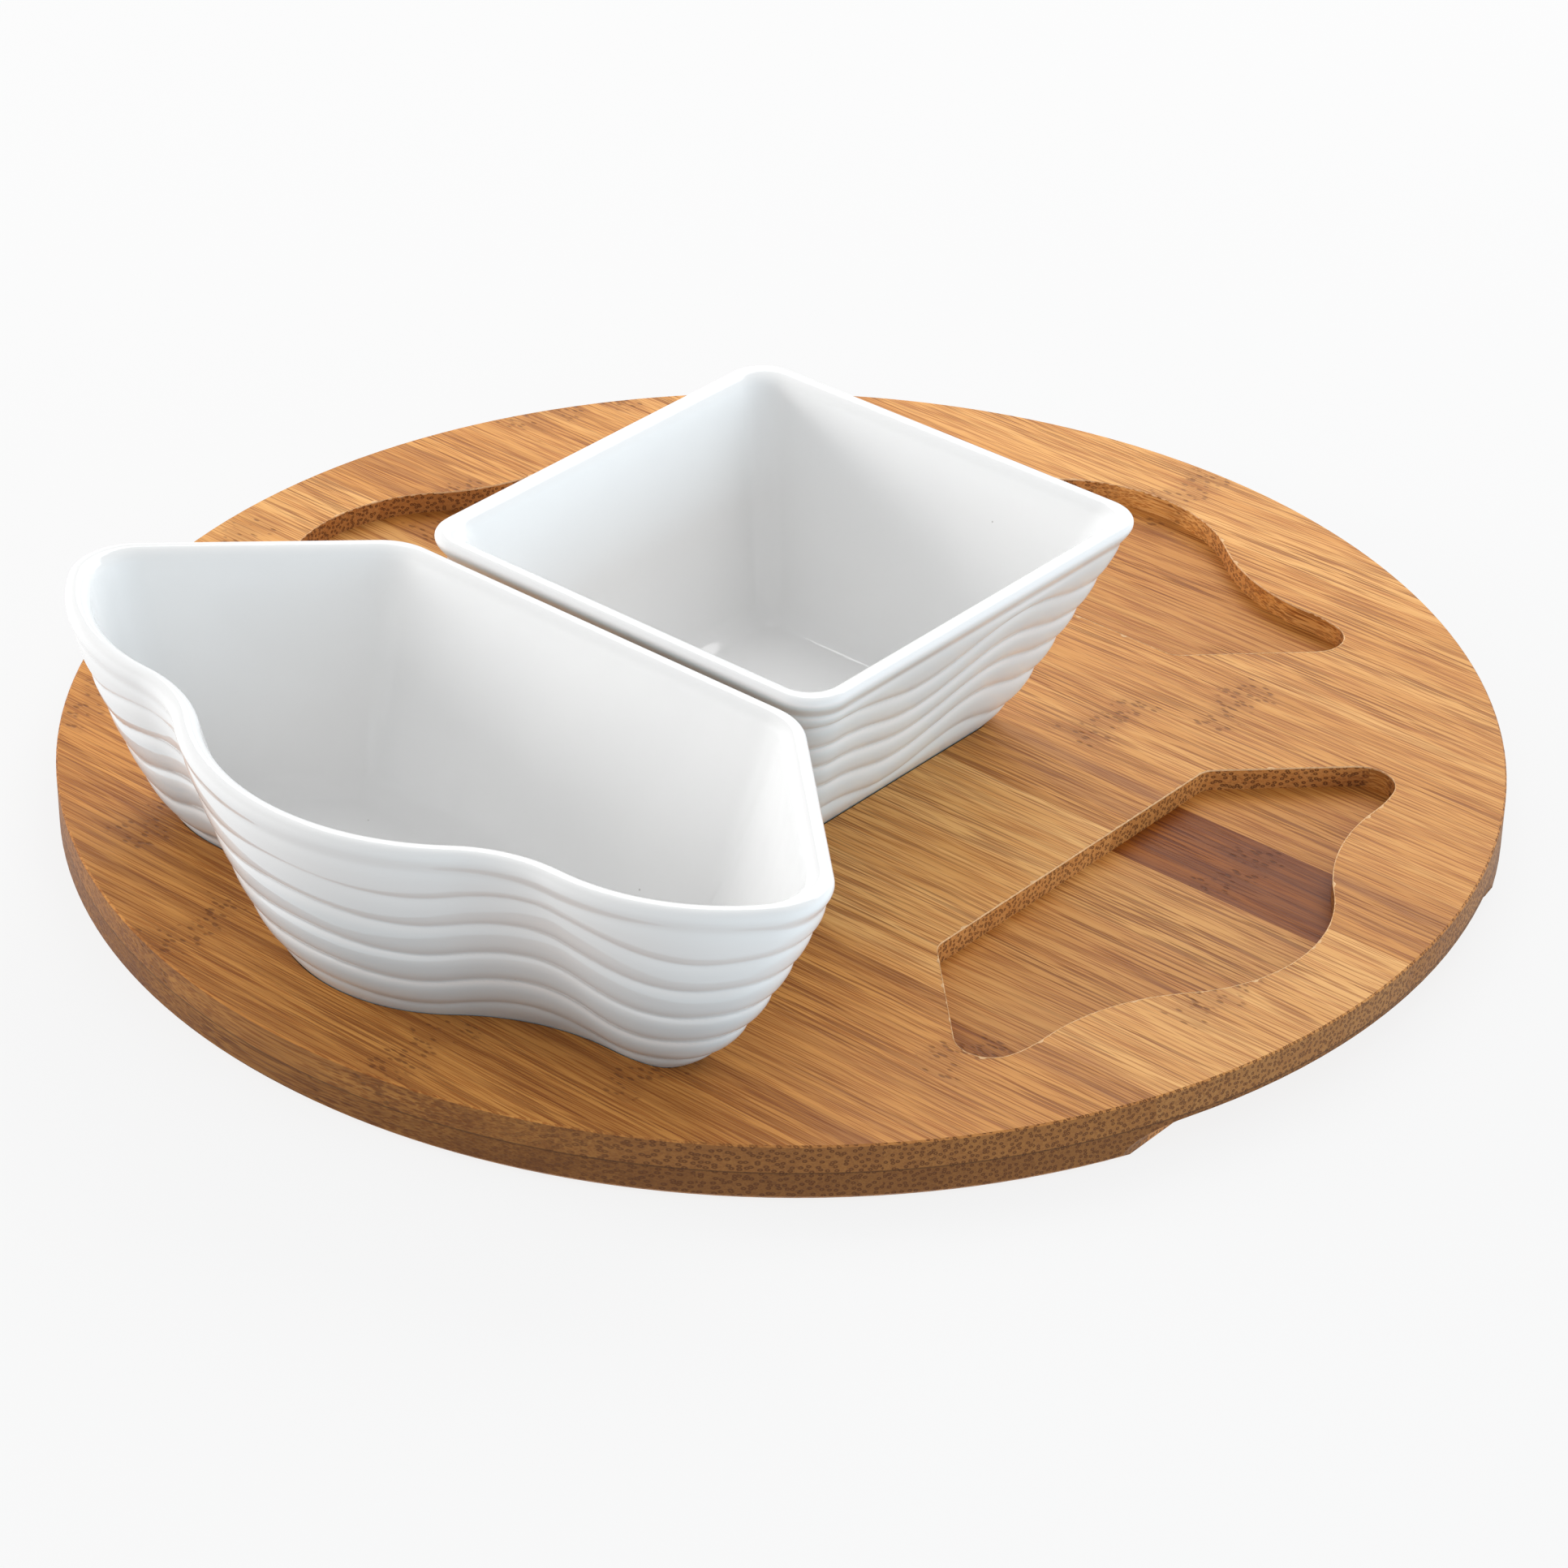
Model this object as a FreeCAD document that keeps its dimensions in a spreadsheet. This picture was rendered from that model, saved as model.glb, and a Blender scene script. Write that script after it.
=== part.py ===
"""Chip and dip server: a round two-ply bamboo tray with five pockets, a square dip dish in the
middle pocket and a wave-fronted chip dish in one of the four outer pockets.

Millimetres. The origin is the centre of the tray's underside, +Z is up, and the bamboo's grain runs
along X. The wave dish stands at -Y, and the two finger scoops are under the edges at +X and -X.
"""
import FreeCAD, Part
import math
import os
import Sketcher

App = FreeCAD
Vector = App.Vector

DRIVING_SIZES = [
    # tray
    ("tray_diameter", 343.0, "13.5 inch round board"),
    ("tray_thickness", 14.2, "both plies together"),
    ("top_ply", 7.0, "thickness of the upper layer of strips"),
    ("top_arris", 0.4, "eased top edge"),
    ("foot_arris", 1.2, "eased bottom edge"),
    ("strip_width", 25.9, "width of one bamboo strip"),
    ("strip_offset", 14.2, "y of the glue line just past the middle strip"),
    ("scoop_line", 156.2, "straight inner edge of a finger scoop, from the centre"),
    ("scoop_radius", 6.2, "height of the scoop and radius of its cove"),
    # pockets
    ("pocket_depth", 5.4, "below the tray's top"),
    ("pocket_inner", 88.0, "straight inner side, from the centre"),
    ("pocket_corner", 5.0, "radius between the inner side and the slanting side"),
    ("pocket_side", 26.87, "slanting side, distance of its line from the centre"),
    ("pocket_angle", 45.0, "slanting side, degrees from the pocket's axis"),
    ("pocket_tip", 8.0, "radius of the outer corner"),
    ("pocket_shoulder", 35.0, "radius between the outer corner and the valley"),
    ("pocket_valley", 128.0, "distance of the wave's valley from the centre"),
    ("pocket_crest", 151.0, "distance of the wave's crest from the centre"),
    ("pocket_crown", 42.0, "radius of the wave's crest"),
    ("valley_spread", 62.0, "valley, sideways from the pocket's axis"),
    # wave dish, its outside at the rim
    ("rim_inner", 63.5, "straight inner side"),
    ("rim_corner", 16.0, "radius of the inner corner"),
    ("rim_side", 4.2, "slanting side"),
    ("rim_angle", 46.3, "slanting side, degrees"),
    ("rim_tip", 14.5, "radius of the outer corner"),
    ("rim_shoulder", 57.0, "radius of the shoulder"),
    ("rim_valley", 149.0, "valley"),
    ("rim_crest", 170.9, "crest"),
    ("rim_crown", 66.0, "radius of the crest"),
    # square dish
    ("square_base", 36.4, "half width where it leaves the pocket"),
    ("square_rim", 61.4, "half width at the rim, 4.75 inches across"),
    ("square_base_corner", 7.0, "corner radius where it leaves the pocket"),
    ("square_rim_corner", 10.0, "corner radius at the rim"),
    # both dishes
    ("dish_rise", 54.4, "rim above the tray's top"),
    ("clearance", 0.4, "between a dish and the edge of its pocket"),
    ("foot_gap", 0.1, "under a dish"),
    ("wall", 5.6, "thickness of a dish's wall"),
    ("dish_floor", 2.6, "inside floor above the tray's top"),
    ("lip_radius", 2.6, "rounding of the rim"),
    ("floor_radius", 5.0, "rounding inside, between floor and wall"),
    ("foot_radius", 1.8, "rounding of the foot's outer edge"),
    ("foot_ring", 4.0, "width of the unglazed ring that a dish stands on"),
    ("foot_recess", 1.2, "hollow inside the foot ring"),
]
STRIP_COUNT = 13
STRIPS_BELOW_OFFSET = 7
POCKET_COUNT = 4
QUARTER_TURN = 90.0
CORNER_SHARE = 0.4      # how much of an inset a dish's corner radius gives up

# how a dish's wall swells: share of its height above the tray, and share of its flare by there
WAVE_FLARE = ((-0.10, -0.154), (0.0, 0.0), (0.07, 0.145), (0.18, 0.30), (0.37, 0.505),
              (0.59, 0.705), (0.81, 0.885), (1.0, 1.0))
SQUARE_FLARE = ((-0.10, -0.16), (0.0, 0.0), (0.07, 0.13), (0.18, 0.26), (0.37, 0.437),
                (0.59, 0.64), (0.81, 0.832), (1.0, 1.0))
ROUND_STEPS = 3         # flats that stand for a quarter round on a dish


class Size:
    """A size as the sheet's expression and as the number it gives now."""

    def __init__(self, text, number):
        self.text = text
        self.number = number

    def combined(self, sign, other, number):
        other_text = other.text if isinstance(other, Size) else str(other)
        return Size("(%s %s %s)" % (self.text, sign, other_text), number)

    def __add__(self, other):
        return self.combined("+", other, self.number + number_of(other))

    def __sub__(self, other):
        return self.combined("-", other, self.number - number_of(other))

    def __mul__(self, other):
        return self.combined("*", other, self.number * number_of(other))

    def __truediv__(self, other):
        return self.combined("/", other, self.number / number_of(other))


def number_of(size):
    return size.number if isinstance(size, Size) else size


def make_sheet(doc):
    sheet = doc.addObject("Spreadsheet::Sheet", "sheet")
    for row, (alias, number, note) in enumerate(DRIVING_SIZES, start=1):
        sheet.set("A%d" % row, alias)
        sheet.set("B%d" % row, str(number))
        sheet.set("C%d" % row, note)
        sheet.setAlias("B%d" % row, alias)
    doc.recompute()
    return sheet


def sizes_from(sheet):
    return {alias: Size("sheet.%s" % alias, float(sheet.get(alias))) for alias, _, _ in DRIVING_SIZES}


# ---------------------------------------------------------------- sketches

def origin_plane(body, role):
    return next(item for item in body.Origin.OriginFeatures if item.Role == role)


def new_sketch(body, name, role, height=None):
    sketch = body.newObject("Sketcher::SketchObject", name)
    sketch.AttachmentSupport = [(origin_plane(body, role), "")]
    sketch.MapMode = "FlatFace"
    if height is not None:
        sketch.setExpression(".AttachmentOffset.Base.z", height.text)
    return sketch


def bind(sketch, name, constraint, size):
    index = sketch.addConstraint(constraint)
    sketch.renameConstraint(index, name)
    unit = " * 1 deg" if constraint.Type == "Angle" else ""
    sketch.setExpression("Constraints.%s" % name, size.text + unit)


def joined(sketch, kind, first, first_end, second, second_end):
    sketch.addConstraint(Sketcher.Constraint(kind, first, first_end, second, second_end))


def wave_corners(size):
    """Centres and joints of the half outline of a pocket, as plain points.

    size holds the ten sizes of the outline. The pocket's axis is X, and the half has y above 0.
    """
    slant = math.radians(size["angle"].number)
    along = Vector(math.cos(slant), math.sin(slant), 0)
    outward = Vector(-math.sin(slant), math.cos(slant), 0)
    side = -size["side"].number
    inner = size["inner"].number

    corner_r = size["corner"].number
    corner_x = inner + corner_r
    corner_y = (side - corner_r - outward.x * corner_x) / outward.y
    corner = Vector(corner_x, corner_y, 0)

    valley = Vector(size["valley"].number, size["spread"].number, 0)
    shoulder = Vector(valley.x - size["shoulder"].number, valley.y, 0)
    tip_r = size["tip"].number
    reach = size["shoulder"].number - tip_r
    foot = shoulder + outward * (side - tip_r - outward.dot(shoulder))
    tip = foot + along * math.sqrt(reach ** 2 - (foot - shoulder).Length ** 2)

    crest = Vector(size["crest"].number, 0, 0)
    crown_r = size["crown"].number
    crown = Vector(crest.x - crown_r, 0, 0)
    drop = crest.x - valley.x
    valley_r = (drop ** 2 + valley.y ** 2) / (2 * drop) - crown_r
    hollow = Vector(valley.x + valley_r, valley.y, 0)

    to_hollow = hollow - crown
    to_hollow.normalize()
    to_tip = tip - shoulder
    to_tip.normalize()
    return {
        "start": Vector(inner, 0, 0),
        "corner": corner,
        "corner_in": Vector(inner, corner.y, 0),
        "corner_out": corner + outward * corner_r,
        "tip": tip,
        "tip_in": tip + outward * tip_r,
        "shoulder": shoulder,
        "tip_out": shoulder + to_tip * size["shoulder"].number,
        "valley": valley,
        "hollow": hollow,
        "turn": crown + to_hollow * crown_r,
        "crown": crown,
        "crest": crest,
    }


def arc(centre, start, end):
    """Arc from start to end about centre, the short way round."""
    half_way = (start - centre) + (end - centre)
    half_way.normalize()
    return Part.Arc(start, centre + half_way * (start - centre).Length, end)


def mirrored_point(point, side):
    return Vector(point.x, point.y * side, 0)


def draw_half_wave(sketch, size, side=1):
    """Draw half of a wave outline, closed along the pocket's axis.

    Its runs are: inner side, corner, slanting side, tip, shoulder, valley, crest, axis.
    """
    at = {name: mirrored_point(point, side) for name, point in wave_corners(size).items()}
    runs = [
        Part.LineSegment(at["start"], at["corner_in"]),
        arc(at["corner"], at["corner_in"], at["corner_out"]),
        Part.LineSegment(at["corner_out"], at["tip_in"]),
        arc(at["tip"], at["tip_in"], at["tip_out"]),
        arc(at["shoulder"], at["tip_out"], at["valley"]),
        arc(at["hollow"], at["valley"], at["turn"]),
        arc(at["crown"], at["turn"], at["crest"]),
        Part.LineSegment(at["crest"], at["start"]),
    ]
    inner, corner, slant, tip, shoulder, valley, crest, axis = sketch.addGeometry(runs, False)
    return {"inner": inner, "corner": corner, "slant": slant, "tip": tip,
            "shoulder": shoulder, "valley": valley, "crest": crest, "axis": axis}


def end_of(sketch, run, point):
    """Number of the end of a run that lies at a point: 1 is its start and 2 is its end."""
    gap_to_start = (sketch.getPoint(run, 1) - point).Length
    gap_to_end = (sketch.getPoint(run, 2) - point).Length
    return 1 if gap_to_start < gap_to_end else 2


def half_wave_sketch(body, name, height, size, side=1):
    """Sketch half of a wave outline at a height, with its ten sizes bound to the sheet."""
    sketch = new_sketch(body, name, "XY_Plane", height)
    run = draw_half_wave(sketch, size, side)
    at = {key: mirrored_point(point, side) for key, point in wave_corners(size).items()}

    smooth = [("inner", "corner", "corner_in"), ("corner", "slant", "corner_out"),
              ("slant", "tip", "tip_in"), ("tip", "shoulder", "tip_out"),
              ("shoulder", "valley", "valley"), ("valley", "crest", "turn")]
    for first, second, joint in smooth:
        point = at[joint]
        joined(sketch, "Tangent", run[first], end_of(sketch, run[first], point),
               run[second], end_of(sketch, run[second], point))
    crest_end = end_of(sketch, run["crest"], at["crest"])
    valley_end = end_of(sketch, run["valley"], at["valley"])
    joined(sketch, "Coincident", run["crest"], crest_end, run["axis"], 1)
    joined(sketch, "Coincident", run["axis"], 2, run["inner"], 1)

    x_axis = -1
    sketch.addConstraint(Sketcher.Constraint("Vertical", run["inner"]))
    for point in ((run["inner"], 1), (run["crest"], crest_end), (run["crest"], 3)):
        sketch.addConstraint(Sketcher.Constraint("PointOnObject", point[0], point[1], x_axis))
    sketch.addConstraint(Sketcher.Constraint(
        "Horizontal", run["shoulder"], 3, run["valley"], valley_end))

    def across(run_name, end, key):
        return Sketcher.Constraint("DistanceX", -1, 1, run[run_name], end, size[key].number)

    spread = size["spread"].number
    if side > 0:
        up = Sketcher.Constraint("DistanceY", -1, 1, run["valley"], valley_end, spread)
    else:
        up = Sketcher.Constraint("DistanceY", run["valley"], valley_end, -1, 1, spread)
    bind(sketch, "inner", across("inner", 1, "inner"), size["inner"])
    bind(sketch, "valley", across("valley", valley_end, "valley"), size["valley"])
    bind(sketch, "crest", across("crest", crest_end, "crest"), size["crest"])
    bind(sketch, "spread", up, size["spread"])
    for key, run_name in (("corner", "corner"), ("tip", "tip"),
                          ("shoulder", "shoulder"), ("crown", "crest")):
        bind(sketch, key, Sketcher.Constraint("Radius", run[run_name], size[key].number), size[key])
    bind(sketch, "side", Sketcher.Constraint("Distance", -1, 1, run["slant"], size["side"].number),
         size["side"])
    slant = math.radians(size["angle"].number)
    if side > 0:
        angle = Sketcher.Constraint("Angle", x_axis, 1, run["slant"], 1, slant)
    else:
        angle = Sketcher.Constraint("Angle", run["slant"], 1, x_axis, 1, slant)
    bind(sketch, "angle", angle, size["angle"])
    return sketch


def rounded_square_sketch(body, name, height, half, radius):
    """Sketch a square with rounded corners about the origin, bound to two sizes."""
    sketch = new_sketch(body, name, "XY_Plane", height)
    a = half.number
    b = half.number - radius.number
    ends = []
    for quarter in range(POCKET_COUNT):
        turn = App.Rotation(Vector(0, 0, 1), quarter * QUARTER_TURN)
        line = [turn.multVec(Vector(a, -b, 0)), turn.multVec(Vector(a, b, 0))]
        ends.append((line, turn.multVec(Vector(b, b, 0))))
    runs = []
    for quarter, (line, centre) in enumerate(ends):
        following = ends[(quarter + 1) % POCKET_COUNT][0][0]
        runs.append(Part.LineSegment(line[0], line[1]))
        runs.append(arc(centre, line[1], following))
    made = sketch.addGeometry(runs, False)
    for index, run in enumerate(made):
        following = made[(index + 1) % len(made)]
        joined(sketch, "Tangent", run, 2, following, 1)
    sides = made[0::2]
    corners = made[1::2]
    for index, side in enumerate(sides):
        kind = "Vertical" if index % 2 == 0 else "Horizontal"
        sketch.addConstraint(Sketcher.Constraint(kind, side))
        bind(sketch, "half%d" % index, Sketcher.Constraint("Distance", -1, 1, side, a), half)
    for corner in corners[1:]:
        sketch.addConstraint(Sketcher.Constraint("Equal", corners[0], corner))
    bind(sketch, "radius", Sketcher.Constraint("Radius", corners[0], radius.number), radius)
    return sketch


# ---------------------------------------------------------------- tray

def ply_profile(body, size, low, high, low_arris, high_arris):
    """Half section of a ply in the XZ plane, from the centre line to the rim."""
    sketch = new_sketch(body, body.Name + "_profile", "XZ_Plane")
    rim = size["tray_diameter"] / 2
    x = rim.number
    z0, z1 = low.number, high.number
    c0, c1 = low_arris.number, high_arris.number
    corners = [Vector(0, z0, 0), Vector(x - c0, z0, 0), Vector(x, z0 + c0, 0),
               Vector(x, z1 - c1, 0), Vector(x - c1, z1, 0), Vector(0, z1, 0)]
    if c0 == 0:
        corners.pop(1)
    if c1 == 0:
        corners.pop(-2)
    runs = [Part.LineSegment(corners[k], corners[(k + 1) % len(corners)]) for k in range(len(corners))]
    made = sketch.addGeometry(runs, False)
    for index, run in enumerate(made):
        joined(sketch, "Coincident", run, 2, made[(index + 1) % len(made)], 1)
    bottom, axis, top = made[0], made[-1], made[-2]
    rim_run = made[2] if c0 else made[1]
    sketch.addConstraint(Sketcher.Constraint("Horizontal", bottom))
    sketch.addConstraint(Sketcher.Constraint("Horizontal", top))
    sketch.addConstraint(Sketcher.Constraint("Vertical", rim_run))
    sketch.addConstraint(Sketcher.Constraint("Vertical", axis))
    sketch.addConstraint(Sketcher.Constraint("PointOnObject", axis, 2, -2))
    bind(sketch, "rim", Sketcher.Constraint("DistanceX", -1, 1, rim_run, 2, x), rim)
    if z0 == 0:
        sketch.addConstraint(Sketcher.Constraint("PointOnObject", bottom, 1, -1))
    else:
        bind(sketch, "low", Sketcher.Constraint("DistanceY", -1, 1, bottom, 1, z0), low)
    bind(sketch, "high", Sketcher.Constraint("DistanceY", -1, 1, top, 2, z1), high)
    for name, amount, arris, run, end in (("foot", c0, low_arris, made[1], 1),
                                          ("edge", c1, high_arris, made[-3], 2)):
        if amount == 0:
            continue
        bind(sketch, name + "_x", Sketcher.Constraint("DistanceX", run, 1, run, 2, amount)
             if end == 1 else Sketcher.Constraint("DistanceX", run, 2, run, 1, amount), arris)
        bind(sketch, name + "_z", Sketcher.Constraint("DistanceY", run, 1, run, 2, amount), arris)
    return sketch


def ply_disc(doc, name, size, low, high, low_arris, high_arris):
    """A round ply with its arrises, turned about Z."""
    body = doc.addObject("PartDesign::Body", name)
    profile = ply_profile(body, size, low, high, low_arris, high_arris)
    disc = body.newObject("PartDesign::Revolution", name + "_disc")
    disc.Profile = profile
    disc.ReferenceAxis = (profile, ["V_Axis"])
    disc.Angle = 360.0
    profile.Visibility = False
    body.Tip = disc
    return body


def cut_pocket(body, sketch, name, depth):
    pocket = body.newObject("PartDesign::Pocket", name)
    pocket.Profile = sketch
    pocket.Type = 0
    pocket.setExpression("Length", depth.text)
    return pocket


def pocket_sizes(size):
    names = ("inner", "corner", "side", "angle", "tip", "shoulder", "valley", "crest", "crown")
    outline = {name: size["pocket_" + name] for name in names}
    outline["spread"] = size["valley_spread"]
    return outline


def make_top_ply(doc, size):
    """Upper ply: four wave pockets round a square one, all the same depth."""
    none = Size("0", 0.0)
    top = size["tray_thickness"]
    body = ply_disc(doc, "top_ply", size, top - size["top_ply"], top, none, size["top_arris"])

    halves = []
    for label, side in (("left", 1), ("right", -1)):
        sketch = half_wave_sketch(body, "pocket_" + label, top, pocket_sizes(size), side)
        halves.append(cut_pocket(body, sketch, "wave_pocket_" + label, size["pocket_depth"]))
    around = body.newObject("PartDesign::PolarPattern", "wave_pockets")
    around.Originals = halves
    around.Axis = (origin_plane(body, "Z_Axis"), [""])
    around.Angle = 360.0
    around.Occurrences = POCKET_COUNT
    body.Tip = around

    half = size["square_base"] + size["clearance"]
    radius = size["square_base_corner"] + size["clearance"]
    middle = rounded_square_sketch(body, "pocket_square", top, half, radius)
    body.Tip = cut_pocket(body, middle, "square_pocket", size["pocket_depth"])
    return body


def make_bottom_ply(doc, size):
    """Lower ply, with a straight coved finger scoop cut across each end of the grain."""
    none = Size("0", 0.0)
    low = Size("0", 0.0)
    high = size["tray_thickness"] - size["top_ply"]
    body = ply_disc(doc, "bottom_ply", size, low, high, size["foot_arris"], none)

    sketch = new_sketch(body, "scoop_section", "XZ_Plane")
    line = size["scoop_line"]
    radius = size["scoop_radius"]
    beyond = size["tray_diameter"] / 2 + radius
    x, r, far = line.number, radius.number, beyond.number
    floor_start = Vector(x + r, r, 0)
    runs = [arc(Vector(x + r, 0, 0), Vector(x, 0, 0), floor_start),
            Part.LineSegment(floor_start, Vector(far, r, 0)),
            Part.LineSegment(Vector(far, r, 0), Vector(far, -r, 0)),
            Part.LineSegment(Vector(far, -r, 0), Vector(x, -r, 0)),
            Part.LineSegment(Vector(x, -r, 0), Vector(x, 0, 0))]
    cove, roof, outside, under, start = sketch.addGeometry(runs, False)
    cove_low = end_of(sketch, cove, Vector(x, 0, 0))
    cove_high = 3 - cove_low
    joined(sketch, "Tangent", cove, cove_high, roof, 1)
    joined(sketch, "Coincident", roof, 2, outside, 1)
    joined(sketch, "Coincident", outside, 2, under, 1)
    joined(sketch, "Coincident", under, 2, start, 1)
    joined(sketch, "Tangent", start, 2, cove, cove_low)
    for kind, run in (("Horizontal", roof), ("Vertical", outside), ("Horizontal", under)):
        sketch.addConstraint(Sketcher.Constraint(kind, run))
    sketch.addConstraint(Sketcher.Constraint("PointOnObject", cove, 3, -1))
    sketch.addConstraint(Sketcher.Constraint("PointOnObject", cove, cove_low, -1))
    bind(sketch, "line", Sketcher.Constraint("DistanceX", -1, 1, cove, cove_low, x), line)
    bind(sketch, "cove", Sketcher.Constraint("Radius", cove, r), radius)
    bind(sketch, "beyond", Sketcher.Constraint("DistanceX", -1, 1, outside, 2, far), beyond)
    bind(sketch, "below", Sketcher.Constraint("DistanceY", outside, 2, -1, 1, r), radius)

    scoop = cut_pocket(body, sketch, "scoop", size["tray_diameter"])
    scoop.Midplane = True
    both = body.newObject("PartDesign::Mirrored", "scoops")
    both.Originals = [scoop]
    both.MirrorPlane = (origin_plane(body, "YZ_Plane"), [""])
    body.Tip = both
    return body


def make_strips(doc, size, plies):
    """Cut each ply into its glued bamboo strips, and return one object a strip."""
    rim = size["tray_diameter"] / 2
    margin = size["tray_thickness"]
    strips = []
    for index in range(STRIP_COUNT):
        low = size["strip_offset"] + size["strip_width"] * (index - STRIPS_BELOW_OFFSET)
        high = low + size["strip_width"]
        if index == 0:
            low = Size("0", 0.0) - rim - margin
        if index == STRIP_COUNT - 1:
            high = rim + margin
        blank = doc.addObject("Part::Box", "strip_blank_%02d" % (index + 1))
        blank.setExpression("Length", (size["tray_diameter"] + margin * 2).text)
        blank.setExpression("Width", (high - low).text)
        blank.setExpression("Height", size["tray_thickness"].text)
        blank.setExpression(".Placement.Base.x", (Size("0", 0.0) - rim - margin).text)
        blank.setExpression(".Placement.Base.y", low.text)
        for name, ply in plies:
            strip = doc.addObject("Part::Common", "%s_strip_%02d" % (name, index + 1))
            strip.Base = ply
            strip.Tool = blank
            strip.Label = strip.Name
            strips.append(strip)
    return strips


# ---------------------------------------------------------------- dishes

def rounding(flat, wall, radius, upward, inward):
    """Rise and inset of the rings of a quarter round, from the wall to the flat face.

    upward is 1 where the wall goes up from the flat face, and -1 where it goes down from it.
    inward is 1 where the flat face is further inside the dish's outline than the wall.
    """
    rings = []
    for step in range(ROUND_STEPS + 1):
        swing = math.radians(QUARTER_TURN * step / ROUND_STEPS)
        rise = flat + radius * (upward * (1 - math.sin(swing)))
        rings.append((rise, wall + radius * (inward * (1 - math.cos(swing)))))
    return rings


def ring_loft(body, kind, rings, draw_ring):
    """Loft through a dish's rings, which are (rise, inset) pairs from the lowest to the highest."""
    sections = []
    for number, (rise, inset) in enumerate(rings, start=1):
        sections.append(draw_ring("%s_%s_ring_%d" % (body.Name, kind, number), rise, inset))
    made = body.newObject("PartDesign::" + kind, "%s_%s" % (body.Name, kind))
    made.Profile = sections[0]
    made.Sections = sections[1:]
    made.Ruled = True
    return made


def flare_at(size, rise, flare):
    """Share of a dish's flare at a rise above the tray's top."""
    level = rise / size["dish_rise"]
    for (low, low_share), (high, high_share) in zip(flare, flare[1:]):
        if level.number <= high:
            break
    return (level - low) * ((high_share - low_share) / (high - low)) + low_share


def shape_dish(body, size, flare, draw_ring):
    """Build a dish from draw_ring(name, rise, inset), and return its three features."""
    none = Size("0", 0.0)
    rim = size["dish_rise"]
    wall = size["wall"]
    lip = size["lip_radius"]
    foot = size["foot_gap"] - size["pocket_depth"]
    foot_rings = rounding(foot, none, size["foot_radius"], 1, 1)
    floor_rings = rounding(size["dish_floor"], wall, size["floor_radius"], 1, 1)
    bends = [rim * level for level, share in flare[1:-1]]
    wall_rings = [(rise, none) for rise in bends]
    inner_rings = [(rise, wall) for rise in bends if rise.number > floor_rings[0][0].number]
    outside = ring_loft(body, "AdditiveLoft",
                        foot_rings[::-1] + wall_rings + rounding(rim, none, lip, -1, 1), draw_ring)
    inside = ring_loft(body, "SubtractiveLoft",
                       floor_rings[::-1] + inner_rings + rounding(rim, wall, lip, -1, -1), draw_ring)
    ring_width = size["foot_ring"] + size["foot_radius"]
    hollow = draw_ring(body.Name + "_foot_hollow", foot, ring_width)
    recess = cut_pocket(body, hollow, body.Name + "_recess", size["foot_recess"])
    recess.Reversed = True
    body.Tip = recess
    return [outside, inside, recess]


def wave_sizes(size, rise, inset):
    """The ten sizes of the wave dish's outline at a rise above the tray, inset from its outside."""
    share = flare_at(size, rise, WAVE_FLARE)

    def blend(name, sign):
        base = size["pocket_" + name] + size["clearance"] * sign
        return base + (size["rim_" + name] - base) * share + inset * sign

    outline = {name: blend(name, 1) for name in ("inner", "side")}
    for name in ("shoulder", "valley", "crest", "crown"):
        outline[name] = blend(name, -1)
    for name in ("corner", "tip"):
        base = size["pocket_" + name] - size["clearance"]
        growth = (size["rim_" + name] - base) * share if share.number > 0 else Size("0", 0.0)
        outline[name] = base + growth - inset * CORNER_SHARE
    outline["angle"] = size["pocket_angle"] + (size["rim_angle"] - size["pocket_angle"]) * share
    outline["spread"] = size["valley_spread"]
    return outline


def make_wave_dish(doc, size):
    """Chip dish: straight inner side, slanting ends and a waved front, flaring all round."""
    body = doc.addObject("PartDesign::Body", "wave_dish")

    def draw_ring(name, rise, inset):
        height = size["tray_thickness"] + rise
        return half_wave_sketch(body, name, height, wave_sizes(size, rise, inset))

    halves = shape_dish(body, size, WAVE_FLARE, draw_ring)
    whole = body.newObject("PartDesign::Mirrored", "wave_whole")
    whole.Originals = halves
    whole.MirrorPlane = (origin_plane(body, "XZ_Plane"), [""])
    body.Tip = whole
    body.Label = "wave_dish"
    body.Placement = App.Placement(Vector(0, 0, 0), App.Rotation(Vector(0, 0, 1), -QUARTER_TURN))
    return body


def make_square_dish(doc, size):
    """Dip dish: a square that flares from its foot to its rim."""
    body = doc.addObject("PartDesign::Body", "square_dish")

    def draw_ring(name, rise, inset):
        share = flare_at(size, rise, SQUARE_FLARE)
        half = size["square_base"] + (size["square_rim"] - size["square_base"]) * share - inset
        spread = size["square_rim_corner"] - size["square_base_corner"]
        radius = size["square_base_corner"] + spread * share - inset * CORNER_SHARE
        return rounded_square_sketch(body, name, size["tray_thickness"] + rise, half, radius)

    shape_dish(body, size, SQUARE_FLARE, draw_ring)
    body.Label = "square_dish"
    return body


# ---------------------------------------------------------------- document

def check_document(doc, sub_parts):
    doc.recompute()
    for item in doc.Objects:
        if "Invalid" in item.State or "Error" in item.State:
            raise RuntimeError("%s did not build: %s" % (item.Name, item.State))
    for item in sub_parts:
        if item.Shape.isNull() or not item.Shape.isValid() or not item.Shape.Solids:
            raise RuntimeError("%s has no sound shape" % item.Label)


def main():
    doc = App.newDocument("chip_and_dip_server")
    size = sizes_from(make_sheet(doc))
    top_ply = make_top_ply(doc, size)
    bottom_ply = make_bottom_ply(doc, size)
    sub_parts = make_strips(doc, size, (("top", top_ply), ("bottom", bottom_ply)))
    sub_parts.append(make_square_dish(doc, size))
    sub_parts.append(make_wave_dish(doc, size))
    check_document(doc, sub_parts)
    os.makedirs("parts", exist_ok=True)
    for item in sub_parts:
        item.Shape.exportStep("parts/%s.step" % item.Label)


main()
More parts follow.
